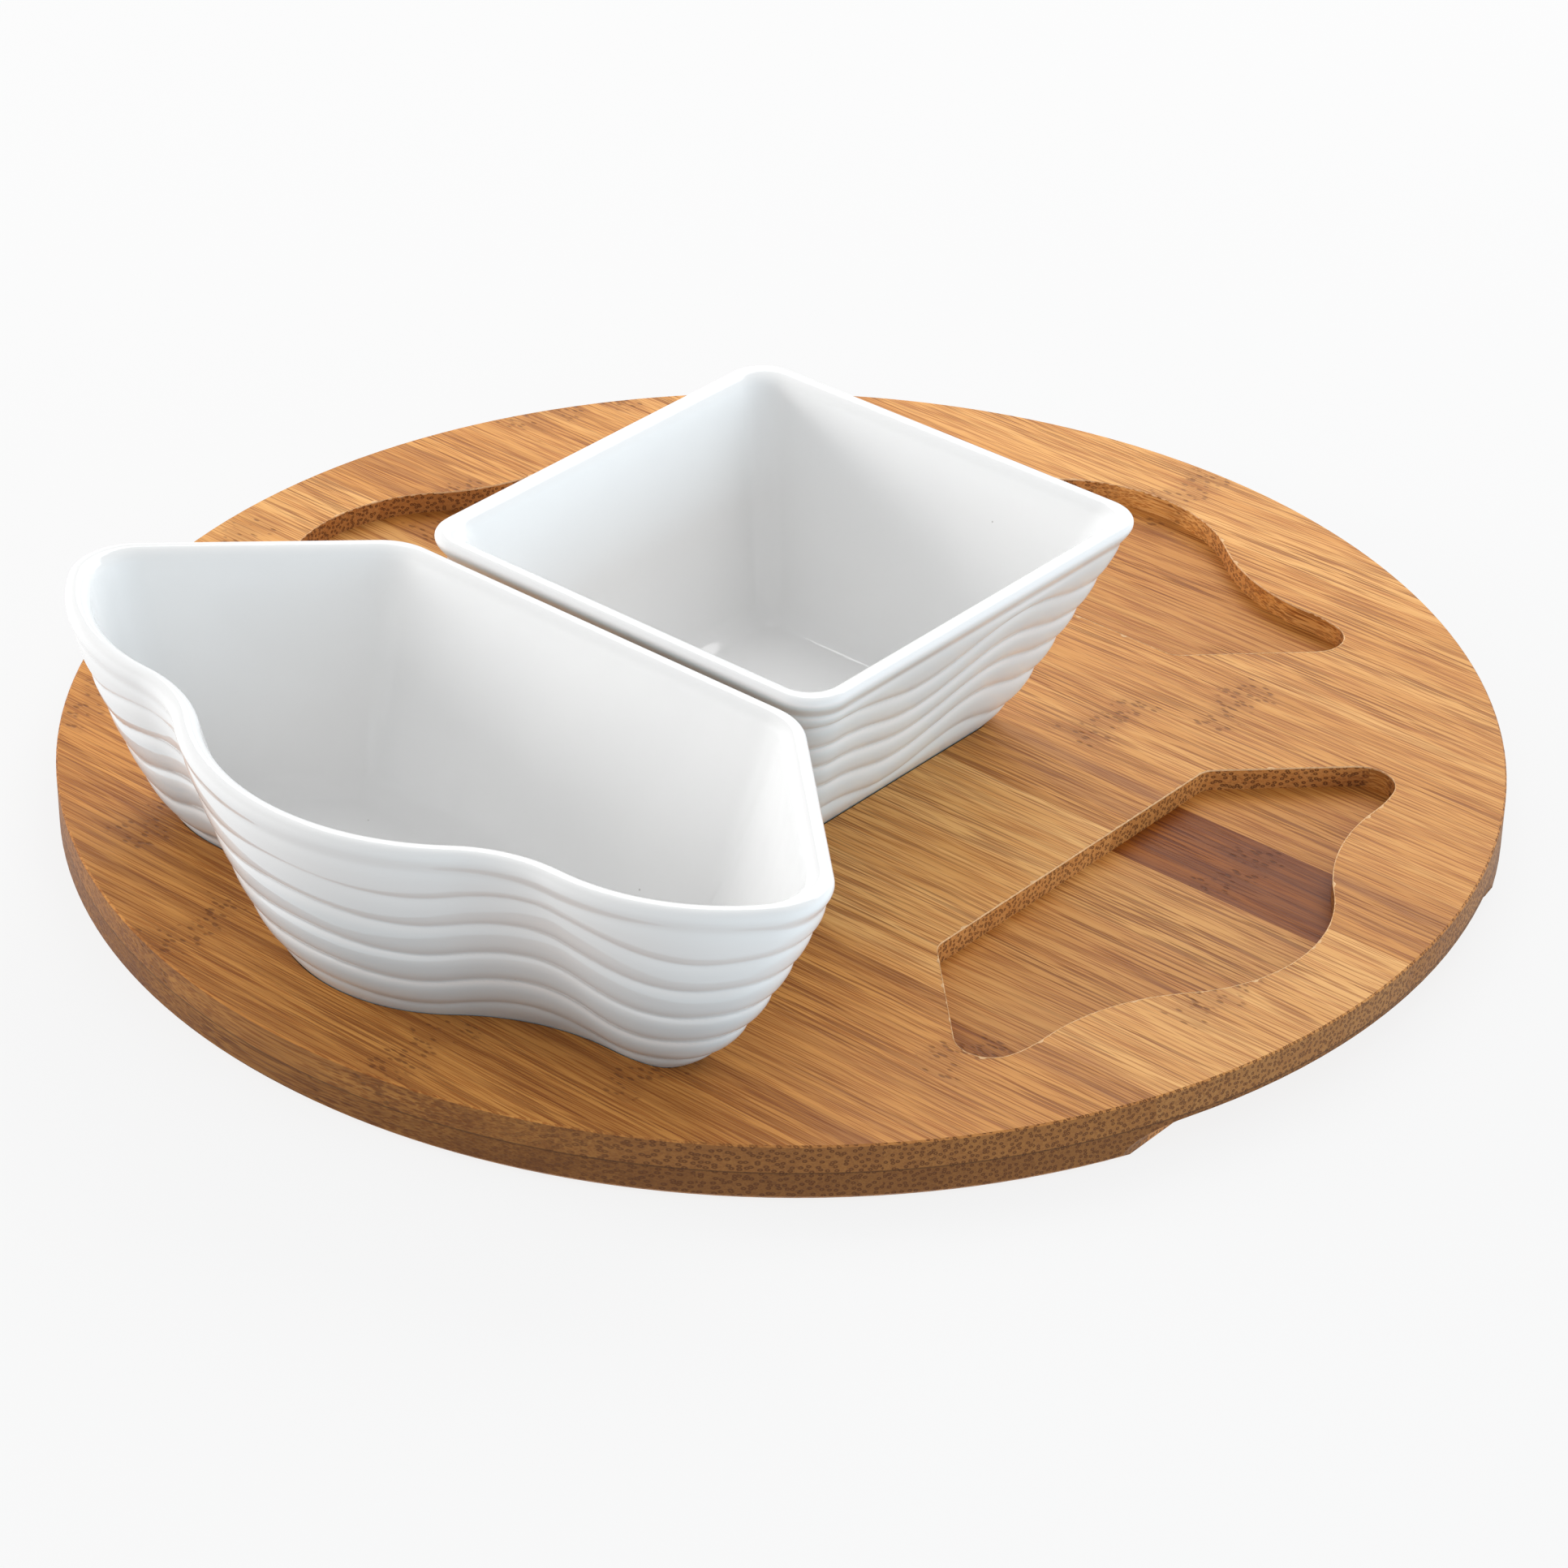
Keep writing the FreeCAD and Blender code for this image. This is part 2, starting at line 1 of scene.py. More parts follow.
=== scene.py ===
"""Looks of the chip and dip server: a bamboo tray with a square and a wave-fronted porcelain dish.

The tray's strips are the CAD nodes with bamboo materials. Both dishes are new meshes on the CAD
dishes' outlines, with the moulded wavy grooves and the glaze. Lengths in the tables are in
millimetres, and everything built is in metres, in the row frame.
"""
import bpy
import math
import numpy as np
from mathutils import Matrix, Vector


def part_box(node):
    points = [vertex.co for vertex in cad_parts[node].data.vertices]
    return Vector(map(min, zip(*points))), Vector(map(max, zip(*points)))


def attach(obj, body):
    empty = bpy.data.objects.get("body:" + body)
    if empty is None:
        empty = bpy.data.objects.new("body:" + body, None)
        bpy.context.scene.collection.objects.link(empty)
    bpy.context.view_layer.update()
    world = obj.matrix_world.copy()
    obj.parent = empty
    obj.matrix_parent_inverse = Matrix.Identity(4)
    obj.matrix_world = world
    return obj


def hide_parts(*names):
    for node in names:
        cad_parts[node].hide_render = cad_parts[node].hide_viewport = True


MM = 0.001
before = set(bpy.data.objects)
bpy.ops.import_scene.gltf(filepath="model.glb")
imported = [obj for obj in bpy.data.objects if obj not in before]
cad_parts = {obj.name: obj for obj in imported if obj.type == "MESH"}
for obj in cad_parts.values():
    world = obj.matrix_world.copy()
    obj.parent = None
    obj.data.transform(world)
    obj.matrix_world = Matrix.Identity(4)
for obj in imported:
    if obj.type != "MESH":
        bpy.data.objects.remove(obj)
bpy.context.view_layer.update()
scene = bpy.context.scene


# ---------------------------------------------------------------- camera

CAMERA_AZIMUTH = 40.112     # degrees, from -Y towards +X
CAMERA_ELEVATION = 31.02
CAMERA_AIM = (-0.033, -0.716, -1.017)       # pan, tilt and roll in degrees
CAMERA_DISTANCE = 1.1706    # from the middle of the tray's top, in metres
SENSOR_WIDTH = 36.0
LENS = 112.82


def look_matrix(azimuth, elevation, pan, tilt, roll):
    """The direction to a camera, and its turn with columns right, up and back. Angles in degrees."""
    azimuth, elevation, pan, tilt, roll = map(math.radians, (azimuth, elevation, pan, tilt, roll))
    back = Vector((math.sin(azimuth) * math.cos(elevation),
                   -math.cos(azimuth) * math.cos(elevation), math.sin(elevation)))
    forward = -back
    right = Vector((math.cos(azimuth), math.sin(azimuth), 0))
    up = right.cross(forward)
    turn = Matrix.Rotation(pan, 3, up)
    forward, right = turn @ forward, turn @ right
    turn = Matrix.Rotation(tilt, 3, right)
    forward, up = turn @ forward, turn @ up
    turn = Matrix.Rotation(roll, 3, forward)
    right, up = turn @ right, turn @ up
    return back, Matrix((right, up, -forward)).transposed()


# the middle strip of the upper ply runs right across the tray
strip_low, strip_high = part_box("top_strip_07")
TRAY_TOP = strip_high.z
PLY_SEAM = strip_low.z
TRAY_RADIUS = strip_high.x
direction, turn = look_matrix(CAMERA_AZIMUTH, CAMERA_ELEVATION, *CAMERA_AIM)
camera = bpy.data.objects.new("camera", bpy.data.cameras.new("camera"))
camera.data.sensor_width = SENSOR_WIDTH
camera.data.lens = LENS
camera.data.clip_start = 0.05
camera.data.clip_end = 50.0
stand = Vector((0, 0, TRAY_TOP)) + direction * CAMERA_DISTANCE
camera.matrix_world = Matrix.Translation(stand) @ turn.to_4x4()
scene.collection.objects.link(camera)
scene.camera = camera
scene.view_settings.view_transform = "Standard"


# ---------------------------------------------------------------- materials

class Graph:
    """Short ways to add and join nodes in one tree."""

    def __init__(self, tree):
        self.tree = tree

    def plug(self, value, socket):
        """Join an output to a socket, or set a plain value on it."""
        if isinstance(value, bpy.types.NodeSocket):
            self.tree.links.new(value, socket)
        else:
            socket.default_value = value

    def node(self, kind, inputs=None, **settings):
        made = self.tree.nodes.new("ShaderNode" + kind)
        for name, value in settings.items():
            setattr(made, name, value)
        for name, value in (inputs or {}).items():
            self.plug(value, made.inputs[name])
        return made

    def math(self, operation, a, b=0.0):
        return self.node("Math", {0: a, 1: b}, operation=operation).outputs[0]

    def times(self, a, b):
        return self.math("MULTIPLY", a, b)

    def less(self, a, b):
        return self.math("SUBTRACT", a, b)

    def vector(self, operation, a, b):
        return self.node("VectorMath", {0: a, 1: b}, operation=operation).outputs[0]

    def stretched(self, vector, along, across):
        """A place scaled for a pattern with so many cells a metre along X and across it."""
        return self.vector("MULTIPLY", vector, (along, across, across))

    def axes(self, vector):
        """The X, Y and Z of a vector."""
        return self.node("SeparateXYZ", {"Vector": vector}).outputs

    def step(self, value, low, high):
        """Smooth step of value, from 0 at low to 1 at high. Low may be above high."""
        flip = low > high
        ends = {"From Min": min(low, high), "From Max": max(low, high),
                "To Min": float(flip), "To Max": float(not flip)}
        made = self.node("MapRange", {"Value": value, **ends}, interpolation_type="SMOOTHSTEP")
        return made.outputs[0]

    def noise(self, vector, scale, detail=2.0, rough=0.5):
        return self.node("TexNoise", {"Vector": vector, "Scale": scale, "Detail": detail,
                                      "Roughness": rough}).outputs[0]

    def cells(self, vector, scale=1.0, randomness=1.0, **settings):
        given = {"Vector": vector, "Scale": scale, "Randomness": randomness}
        return self.node("TexVoronoi", given, **settings).outputs[0]

    def blend(self, share, a, b, blend_type="MIX"):
        """Colour a, with that share of b mixed in or multiplied onto it."""
        made = self.node("Mix", data_type="RGBA", blend_type=blend_type)
        for value, socket in ((share, made.inputs[0]), (a, made.inputs[6]), (b, made.inputs[7])):
            self.plug(value, socket)
        return made.outputs[2]

    def bump(self, height, distance, strength):
        """A normal for a relief of that height, in units of distance in metres."""
        given = {"Height": height, "Distance": distance, "Strength": strength}
        return self.node("Bump", given).outputs[0]


def linear(red, green, blue):
    """A screen colour of 0 to 255 as linear light, with alpha."""
    parts = [c / 255 for c in (red, green, blue)]
    return tuple(c / 12.92 if c <= 0.04045 else ((c + 0.055) / 1.055) ** 2.4 for c in parts) + (1.0,)


def new_material(name):
    """A material, its graph and its shader."""
    material = bpy.data.materials.new(name)
    material.use_nodes = True
    graph = Graph(material.node_tree)
    return material, graph, material.node_tree.nodes["Principled BSDF"]


# bamboo's colours, and the rim's painted shade; a shade is multiplied onto what is under it
BAMBOO_DARK = linear(140, 82, 34)
BAMBOO_MIDDLE = linear(206, 142, 72)
BAMBOO_LIGHT = linear(232, 178, 110)
FIBRE_SHADE = linear(190, 150, 112)
BUNDLE = linear(128, 70, 28)
KNOT = linear(140, 84, 38)
SPECK = linear(96, 50, 20)
END_GRAIN = linear(178, 118, 66)
PORE = linear(92, 52, 26)
# painted shade on the rim, which faces away from the lamps, and more of it on the lower ply by the
# floor
RIM_PAINTED_SHADE = linear(192, 194, 198)
LOWER_RIM_PAINTED_SHADE = linear(226, 224, 224)
GLUE = linear(60, 36, 20)
POCKET_SHADE = linear(234, 226, 212)
STAIN_SHADE = linear(198, 168, 104)
# where bamboo's marks and the rim's painted shade begin and where they are whole, in metres
RIM_BAND = (0.004, 0.002)           # in from the tray's edge
LOWER_RIM = (0.0002, -0.0004)       # above the seam between the plies
KNOT_REACH = (0.0080, 0.0015)       # to each side of a knot
GLUE_REACH = (0.00032, 0.00008)     # above and below the seam
POCKET_LEVEL = (0.0120, 0.0110)     # height of a flat face
STAIN_START = (0.060, 0.064)        # along X
FIBRE_BEND = 0.0030                 # metres that the fibres wander to the side
KNOT_WANDER = 0.022                 # and that a knot's dashes wander along the strip
VESSELS = 820.0                     # dark rings a metre, on end grain


def bamboo_group():
    """Solid bamboo, with its fibres along X, as a group that gives colour, height and roughness.

    Its sockets say how one strip differs: Shift slides the fibres, Tone is light or dark, the
    knots are where the strip's nodes are along X in metres, and Stain is 1 on a strip that is
    darker where a pocket's floor cuts into it.
    """
    tree = bpy.data.node_groups.new("bamboo", "ShaderNodeTree")
    for name in ("Shift", "Tone", "Knot 1", "Knot 2", "Stain"):
        tree.interface.new_socket(name, in_out="INPUT", socket_type="NodeSocketFloat")
    for name, kind in (("Color", "Color"), ("Height", "Float"), ("Roughness", "Float")):
        tree.interface.new_socket(name, in_out="OUTPUT", socket_type="NodeSocket" + kind)
    graph = Graph(tree)
    given = tree.nodes.new("NodeGroupInput").outputs
    place = graph.node("TexCoord").outputs["Object"]
    slide = graph.node("CombineXYZ", {"X": given["Shift"], "Y": given["Shift"]}).outputs[0]
    moved = graph.vector("ADD", place, slide)
    x, y, z = graph.axes(place)

    # which way the surface faces: 1 on end grain, on upright faces, on the rim, or on flat tops
    facing = graph.axes(graph.node("NewGeometry").outputs["True Normal"])
    end_grain = graph.step(graph.math("ABSOLUTE", facing[0]), 0.15, 0.60)
    upright = graph.step(graph.math("ABSOLUTE", facing[2]), 0.75, 0.45)
    outwards = graph.node("CombineXYZ", {"X": x, "Y": y}).outputs[0]
    outwards = graph.node("VectorMath", {0: outwards}, operation="LENGTH").outputs["Value"]
    at_edge = graph.step(outwards, TRAY_RADIUS - RIM_BAND[0], TRAY_RADIUS - RIM_BAND[1])
    rim = graph.times(upright, at_edge)
    flat = graph.step(facing[2], 0.75, 0.95)

    # slow bends in the run of the fibres
    bend = graph.noise(graph.stretched(moved, 9.0, 30.0), 1.0, 1.0)
    bend = graph.times(graph.less(bend, 0.5), FIBRE_BEND)
    grain = graph.vector("ADD", moved, graph.node("CombineXYZ", {"Y": bend}).outputs[0])

    # tones: broad bands and fine lines, and dark bundles and strands of fibres
    bands = graph.noise(graph.stretched(grain, 4.0, 210.0), 1.0, 3.0, 0.6)
    lines = graph.noise(graph.stretched(grain, 26.0, 2400.0), 1.0, 2.0, 0.6)
    bundles = graph.cells(graph.stretched(grain, 36.0, 1350.0))
    strands = graph.cells(graph.stretched(grain, 52.0, 2500.0))
    patches = graph.noise(graph.stretched(grain, 16.0, 100.0), 1.0, 2.0)
    patches = graph.math("MAXIMUM", graph.step(patches, 0.34, 0.64), 0.40)
    dark = graph.times(graph.step(bundles, 0.50, 0.34), patches)
    fine = graph.times(graph.step(strands, 0.50, 0.32), 0.8)

    # vessels that show as small rings where the fibres are cut across
    cut = graph.axes(grain)
    cut = graph.node("CombineXYZ", {"X": cut[1], "Y": cut[2]}).outputs[0]
    vessels = graph.cells(cut, VESSELS, 0.85, voronoi_dimensions="2D")
    pore = graph.times(graph.step(vessels, 0.36, 0.27), graph.step(vessels, 0.05, 0.14))
    pore = graph.times(pore, end_grain)

    # nodes of the culm: a band of short dark dashes across the strip
    wander = graph.noise(graph.stretched(moved, 60.0, 200.0), 1.0, 2.0)
    wander = graph.times(graph.less(wander, 0.5), KNOT_WANDER)
    here = graph.math("ADD", x, wander)
    near = []
    for name in ("Knot 1", "Knot 2"):
        gap = graph.math("ABSOLUTE", graph.less(here, given[name]))
        near.append(graph.step(gap, *KNOT_REACH))
    knot = graph.math("MAXIMUM", near[0], near[1])
    specks = graph.cells(graph.stretched(moved, 330.0, 780.0))
    specks = graph.times(graph.step(specks, 0.42, 0.20), graph.step(knot, 0.25, 0.75))

    # the strip's own tone, with its fibres, knots and specks
    tone = graph.math("ADD", given["Tone"], graph.less(bands, 0.5))
    tone = graph.math("ADD", tone, graph.times(graph.less(lines, 0.5), 0.5))
    ramp = graph.node("ValToRGB", {"Fac": tone})
    stops = ramp.color_ramp.elements
    stops[0].position, stops[0].color = 0.0, BAMBOO_DARK
    stops[1].position, stops[1].color = 1.0, BAMBOO_LIGHT
    stops.new(0.5).color = BAMBOO_MIDDLE
    colour = ramp.outputs[0]
    colour = graph.blend(graph.times(fine, 0.8), colour, FIBRE_SHADE, "MULTIPLY")
    colour = graph.blend(graph.times(dark, 0.62), colour, BUNDLE)
    colour = graph.blend(graph.times(knot, 0.25), colour, KNOT)
    colour = graph.blend(graph.times(specks, 0.55), colour, SPECK)

    # end grain is browner, with the vessels' rings; the rim gets painted shade, darker and greyer, most
    # of all on the lower ply
    colour = graph.blend(graph.times(end_grain, 0.7), colour, END_GRAIN)
    # painted shade: the rim darker and greyer, and the lower ply's rim darker still
    colour = graph.blend(graph.times(rim, 0.8), colour, RIM_PAINTED_SHADE, "MULTIPLY")
    lower = graph.step(z, PLY_SEAM + LOWER_RIM[0], PLY_SEAM + LOWER_RIM[1])
    colour = graph.blend(graph.times(rim, lower), colour, LOWER_RIM_PAINTED_SHADE, "MULTIPLY")
    colour = graph.blend(graph.times(pore, 0.75), colour, PORE)

    # the glue line between the plies, the pockets' floors, and the stain in one of them
    seam = graph.math("ABSOLUTE", graph.less(z, PLY_SEAM))
    seam = graph.times(graph.step(seam, *GLUE_REACH), upright)
    colour = graph.blend(graph.times(seam, 0.6), colour, GLUE)
    deep = graph.times(graph.step(z, *POCKET_LEVEL), flat)
    colour = graph.blend(deep, colour, POCKET_SHADE, "MULTIPLY")
    stain = graph.times(deep, graph.step(x, *STAIN_START))
    colour = graph.blend(graph.times(stain, given["Stain"]), colour, STAIN_SHADE, "MULTIPLY")

    height = graph.less(graph.times(lines, 0.6), graph.times(dark, 0.8))
    height = graph.less(graph.less(height, specks), pore)
    rough = graph.node("MapRange", {"Value": bands, "To Min": 0.42, "To Max": 0.58}).outputs[0]
    out = tree.nodes.new("NodeGroupOutput").inputs
    for name, result in (("Color", colour), ("Height", height), ("Roughness", rough)):
        tree.links.new(result, out[name])
    return tree


NO_KNOT = 900       # mm along X, well beyond the tray
STRIP_SHIFT = 0.37  # metres between one strip's fibres and the next's
PLY_SHIFT = 5.1     # and between the plies'
# each strip's knots along X in mm, its tone and its stain; strips are numbered from -Y to +Y
TOP_STRIPS = {
    1: ((-40, 31), 0.34, 0), 2: ((-79, 72), 0.32, 0), 3: ((-128, NO_KNOT), 0.42, 0),
    4: ((118, -95), 0.40, 0), 5: ((-146, NO_KNOT), 0.72, 0), 6: ((146, -160), 0.68, 0),
    7: ((-62, NO_KNOT), 0.78, 0), 8: ((115, -136), 0.40, 1), 9: ((57, -118), 0.56, 0),
    10: ((75, -150), 0.55, 0), 11: ((-141, NO_KNOT), 0.66, 0), 12: ((-98, NO_KNOT), 0.58, 0),
    13: ((3, NO_KNOT), 0.66, 0),
}
BOTTOM_STRIPS = {
    1: ((12, NO_KNOT), 0.30, 0), 2: ((-66, 110), 0.42, 0), 3: ((20, NO_KNOT), 0.34, 0),
    4: ((-120, 60), 0.44, 0), 5: ((150, NO_KNOT), 0.36, 0), 6: ((-10, NO_KNOT), 0.46, 0),
    7: ((92, -140), 0.38, 0), 8: ((-70, NO_KNOT), 0.44, 0), 9: ((160, 0), 0.34, 0),
    10: ((-100, NO_KNOT), 0.46, 0), 11: ((44, NO_KNOT), 0.40, 0), 12: ((-20, NO_KNOT), 0.48, 0),
    13: ((70, NO_KNOT), 0.42, 0),
}
fibre = bamboo_group()
for ply, strips in (("top", TOP_STRIPS), ("bottom", BOTTOM_STRIPS)):
    for number, (knots, tone, stain) in strips.items():
        name = "%s_strip_%02d" % (ply, number)
        material, graph, shader = new_material("bamboo_" + name)
        strip = material.node_tree.nodes.new("ShaderNodeGroup")
        strip.node_tree = fibre
        strip.inputs["Shift"].default_value = (STRIP_SHIFT * number +
                                               (PLY_SHIFT if ply == "bottom" else 0.0))
        strip.inputs["Tone"].default_value = tone
        strip.inputs["Knot 1"].default_value = knots[0] * MM
        strip.inputs["Knot 2"].default_value = knots[1] * MM
        strip.inputs["Stain"].default_value = stain
        graph.plug(strip.outputs["Color"], shader.inputs["Base Color"])
        graph.plug(strip.outputs["Roughness"], shader.inputs["Roughness"])
        graph.plug(graph.bump(strip.outputs["Height"], 0.00012, 0.8), shader.inputs["Normal"])
        shader.inputs["Specular IOR Level"].default_value = 0.18
        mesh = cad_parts[name].data
        mesh.materials.clear()
        mesh.materials.append(material)


GLAZE = (linear(230, 230, 230), linear(234, 234, 233))
GLAZE_FLECK = linear(120, 112, 104)
GLAZE_ROUGHNESS = (0.05, 0.09)
OUTSIDE = (0.10, -0.38)     # upward part of the normal, where a wall starts to be and is outside
CLAY = (linear(214, 208, 196), linear(234, 230, 220))


def glaze_material(name, high, low, painted_cool_shade):
    """White glaze. A painted cool shade on the outside wall, against the warm light that the tray
    bounces onto it, starts at the height high and is whole below low.
    """
    material, graph, shader = new_material(name)
    place = graph.node("TexCoord").outputs["Object"]
    cloud = graph.noise(place, 26.0, 3.0)
    flecks = graph.times(graph.step(graph.cells(place, 75.0), 0.028, 0.014), 0.5)
    colour = graph.blend(cloud, *GLAZE)
    colour = graph.blend(flecks, colour, GLAZE_FLECK)
    facing = graph.axes(graph.node("NewGeometry").outputs["Normal"])[2]
    rise = graph.axes(place)[2]
    # painted cool shade on the outside wall, whole low down, against the tray's warm bounce light
    outside = graph.times(graph.step(rise, high, low), graph.step(facing, *OUTSIDE))
    colour = graph.blend(outside, colour, painted_cool_shade, "MULTIPLY")
    graph.plug(colour, shader.inputs["Base Color"])
    rough = graph.node("MapRange", {"Value": graph.noise(place, 60.0),
                                    "To Min": GLAZE_ROUGHNESS[0], "To Max": GLAZE_ROUGHNESS[1]})
    graph.plug(rough.outputs[0], shader.inputs["Roughness"])
    grit = graph.times(graph.noise(place, 420.0), 0.12)
    ripple = graph.math("ADD", graph.noise(place, 90.0, 1.0), grit)
    graph.plug(graph.bump(ripple, 0.00025, 0.35), shader.inputs["Normal"])
    shader.inputs["IOR"].default_value = 1.52
    return material


def foot_material():
    """Bare fired clay on the ring that a dish stands on."""
    material, graph, shader = new_material("bare_foot")
    place = graph.node("TexCoord").outputs["Object"]
    grit = graph.noise(place, 900.0, 3.0, 0.7)
    graph.plug(graph.blend(grit, *CLAY), shader.inputs["Base Color"])
    graph.plug(graph.bump(grit, 0.0002, 0.6), shader.inputs["Normal"])
    shader.inputs["Roughness"].default_value = 0.78
    return material


# ---------------------------------------------------------------- dishes

RIM_RISE = 54.4         # of both dishes, above the tray's top
CLEARANCE = 0.4         # between a dish and its pocket's edge
WALL = 5.6
FLOOR_RISE = 2.6        # of a dish's inside floor, above the tray's top
LIP = 2.6               # rounding of the rim, inside and outside
FLOOR_ROUND = 4.0
FOOT_ROUND = 1.8
RECESS = 1.2            # of the underside, inside the foot's ring
RECESS_SHARE = 0.87     # of the foot's width
CORNER_SHARE = 0.4      # of an inset, that is taken off a corner's radius
RING_GAP = 0.5          # between the rings of points up a moulded wall
LIP_GAP = 0.2           # the least from the last of them to the lip
HUB_STEPS = 7           # from a ring to the middle of a floor or an underside
BARE_STEPS = 3          # across the unglazed ring of the foot
BOX_SLACK = 0.2         # that a dish may stand out of its CAD box
# rings round the foot, each half of the lip, the inside wall and the inside floor's edge
FOOT_RINGS, LIP_RINGS, WALL_RINGS, FLOOR_RINGS = 6, 8, 20, 9
RIGHT_ANGLE = math.pi / 2
# how a dish's wall swells: share of its height above the tray, and share of its flare by there
WAVE_FLARE = ((-0.10, -0.154), (0.0, 0.0), (0.07, 0.145), (0.18, 0.30), (0.37, 0.505),
              (0.59, 0.705), (0.81, 0.885), (1.0, 1.0))
SQUARE_FLARE = ((-0.10, -0.16), (0.0, 0.0), (0.07, 0.13), (0.18, 0.26), (0.37, 0.437),
                (0.59, 0.64), (0.81, 0.832), (1.0, 1.0))
BEND_REACH = 0.06       # share of the height to each side, over which the wall's bends are eased
# an outer pocket and the wave dish's rim: distances from the tray's middle line, and radii of arcs
POCKET = dict(inner=88.0, corner=5.0, side=26.87, angle=45.0, tip=8.0, shoulder=35.0,
              valley=128.0, crest=151.0, crown=42.0)
RIM = dict(inner=63.5, corner=16.0, side=4.2, angle=46.3, tip=14.5, shoulder=57.0,
           valley=149.0, crest=170.9, crown=66.0)
# points along each stretch of a wedge's half outline
INNER_POINTS, CORNER_POINTS, SIDE_POINTS, TIP_POINTS, BAY_POINTS, CROWN_POINTS = 30, 12, 36, 16, 48, 26
SPREAD = 62.0           # of the two valleys in the waved side, from its middle
TIP_EASE = 2.0          # over which the line leaves a tip that doesn't reach a valley


def arc_points(centre, start, end, count):
    """Points on the short arc from start to end about centre, without the end."""
    first = math.atan2(start[1] - centre[1], start[0] - centre[0])
    swing = math.atan2(end[1] - centre[1], end[0] - centre[0]) - first
    swing = (swing + math.pi) % (2 * math.pi) - math.pi
    radius = math.dist(start, centre)
    angles = first + swing * np.arange(count) / count
    return np.column_stack([centre[0] + radius * np.cos(angles), centre[1] + radius * np.sin(angles)])


def line_points(start, end, count):
    """Points on the straight line from start to end, without the end."""
    share = (np.arange(count) / count)[:, None]
    return np.array(start) + (np.array(end) - np.array(start)) * share


def evenly(line, count):
    """Points spread evenly along a line of points, without its end."""
    run = np.concatenate([[0], np.cumsum(np.linalg.norm(np.diff(line, axis=0), axis=1))])
    at = run[-1] * np.arange(count) / count
    return np.column_stack([np.interp(at, run, line[:, 0]), np.interp(at, run, line[:, 1])])


def wedge_outline(size):
    """Outline of a pocket or dish about the -Y axis: straight inside, slanting ends, waved outside."""
    slant = math.radians(size["angle"])
    along = np.array([math.cos(slant), math.sin(slant)])
    outward = np.array([-math.sin(slant), math.cos(slant)])
    side = -size["side"]
    corner_x = size["inner"] + size["corner"]
    corner = np.array([corner_x, (side - size["corner"] - outward[0] * corner_x) / outward[1]])
    valley = np.array([size["valley"], SPREAD])
    shoulder = valley - [size["shoulder"], 0]
    foot = shoulder + outward * (side - size["tip"] - outward @ shoulder)
    reach = size["shoulder"] - size["tip"]
    tip = foot + along * math.sqrt(reach ** 2 - (foot - shoulder) @ (foot - shoulder))
    crest = np.array([size["crest"], 0.0])
    crown = crest - [size["crown"], 0]
    drop = size["crest"] - size["valley"]
    hollow = valley + [(drop ** 2 + SPREAD ** 2) / (2 * drop) - size["crown"], 0]
    turn_over = crown + (hollow - crown) / np.linalg.norm(hollow - crown) * size["crown"]
    tip_out = shoulder + (tip - shoulder) / np.linalg.norm(tip - shoulder) * size["shoulder"]
    corner_in = np.array([size["inner"], corner[1]])
    corner_out = corner + outward * size["corner"]
    tip_in = tip + outward * size["tip"]
    if tip_out[1] > SPREAD:
        bay = np.vstack([arc_points(shoulder, tip_out, valley, BAY_POINTS),
                         arc_points(hollow, valley, turn_over, BAY_POINTS)])
    else:                       # a foot so narrow that its tips don't reach the valleys
        across = np.linspace(tip_out[1], turn_over[1], 2 * BAY_POINTS)
        down = hollow[0] - np.sqrt((hollow[0] - valley[0]) ** 2 - (across - SPREAD) ** 2)
        down += (tip_out[0] - down[0]) * np.exp((across - tip_out[1]) / TIP_EASE)
        bay = np.column_stack([down, across])
    half = np.vstack([
        line_points((size["inner"], 0.0), corner_in, INNER_POINTS),
        arc_points(corner, corner_in, corner_out, CORNER_POINTS),
        line_points(corner_out, tip_in, SIDE_POINTS),
        arc_points(tip, tip_in, tip_out, TIP_POINTS),
        evenly(np.vstack([bay, [turn_over]]), BAY_POINTS),
        arc_points(crown, turn_over, crest, CROWN_POINTS),
        crest[None],
    ])
    whole = np.vstack([half, half[-2:0:-1] * [1, -1]])
    return np.column_stack([whole[:, 1], -whole[:, 0]])


def flare_at(rise, flare):
    """Share of a dish's flare at a rise above the tray's top."""
    level = rise / RIM_RISE
    levels, shares = zip(*flare)
    reach = max(min(BEND_REACH, 1 - level, level - levels[0]), 0.0)
    return float(np.interp(level + reach * np.linspace(-1, 1, 9), levels, shares).mean())


def wave_outline(rise, inset):
    """Outline of the wave dish at a rise above the tray's top, so far in from its outside."""
    share = flare_at(rise, WAVE_FLARE)
    now = {}
    for name, base in POCKET.items():
        if name in ("inner", "side"):
            base += CLEARANCE
        elif name != "angle":
            base -= CLEARANCE
        growth = max(share, 0.0) if name in ("corner", "tip") else share
        now[name] = base + (RIM[name] - base) * growth
    for name in ("inner", "side"):
        now[name] += inset
    for name in ("shoulder", "valley", "crest", "crown"):
        now[name] -= inset
    for name in ("corner", "tip"):
        now[name] -= inset * CORNER_SHARE
    return wedge_outline(now)


def quarter_turns(points, turns):
    """Points turned about the tray's middle by so many quarter turns, +X towards +Y."""
    cosine = round(math.cos(turns * math.pi / 2))
    sine = round(math.sin(turns * math.pi / 2))
    return points @ np.array([[cosine, sine], [-sine, cosine]])


SQUARE_BASE = (36.4, 7.0)       # half width and corner radius, level with the tray's top
SQUARE_RIM = (61.4, 10.0)
SQUARE_POINTS = 48


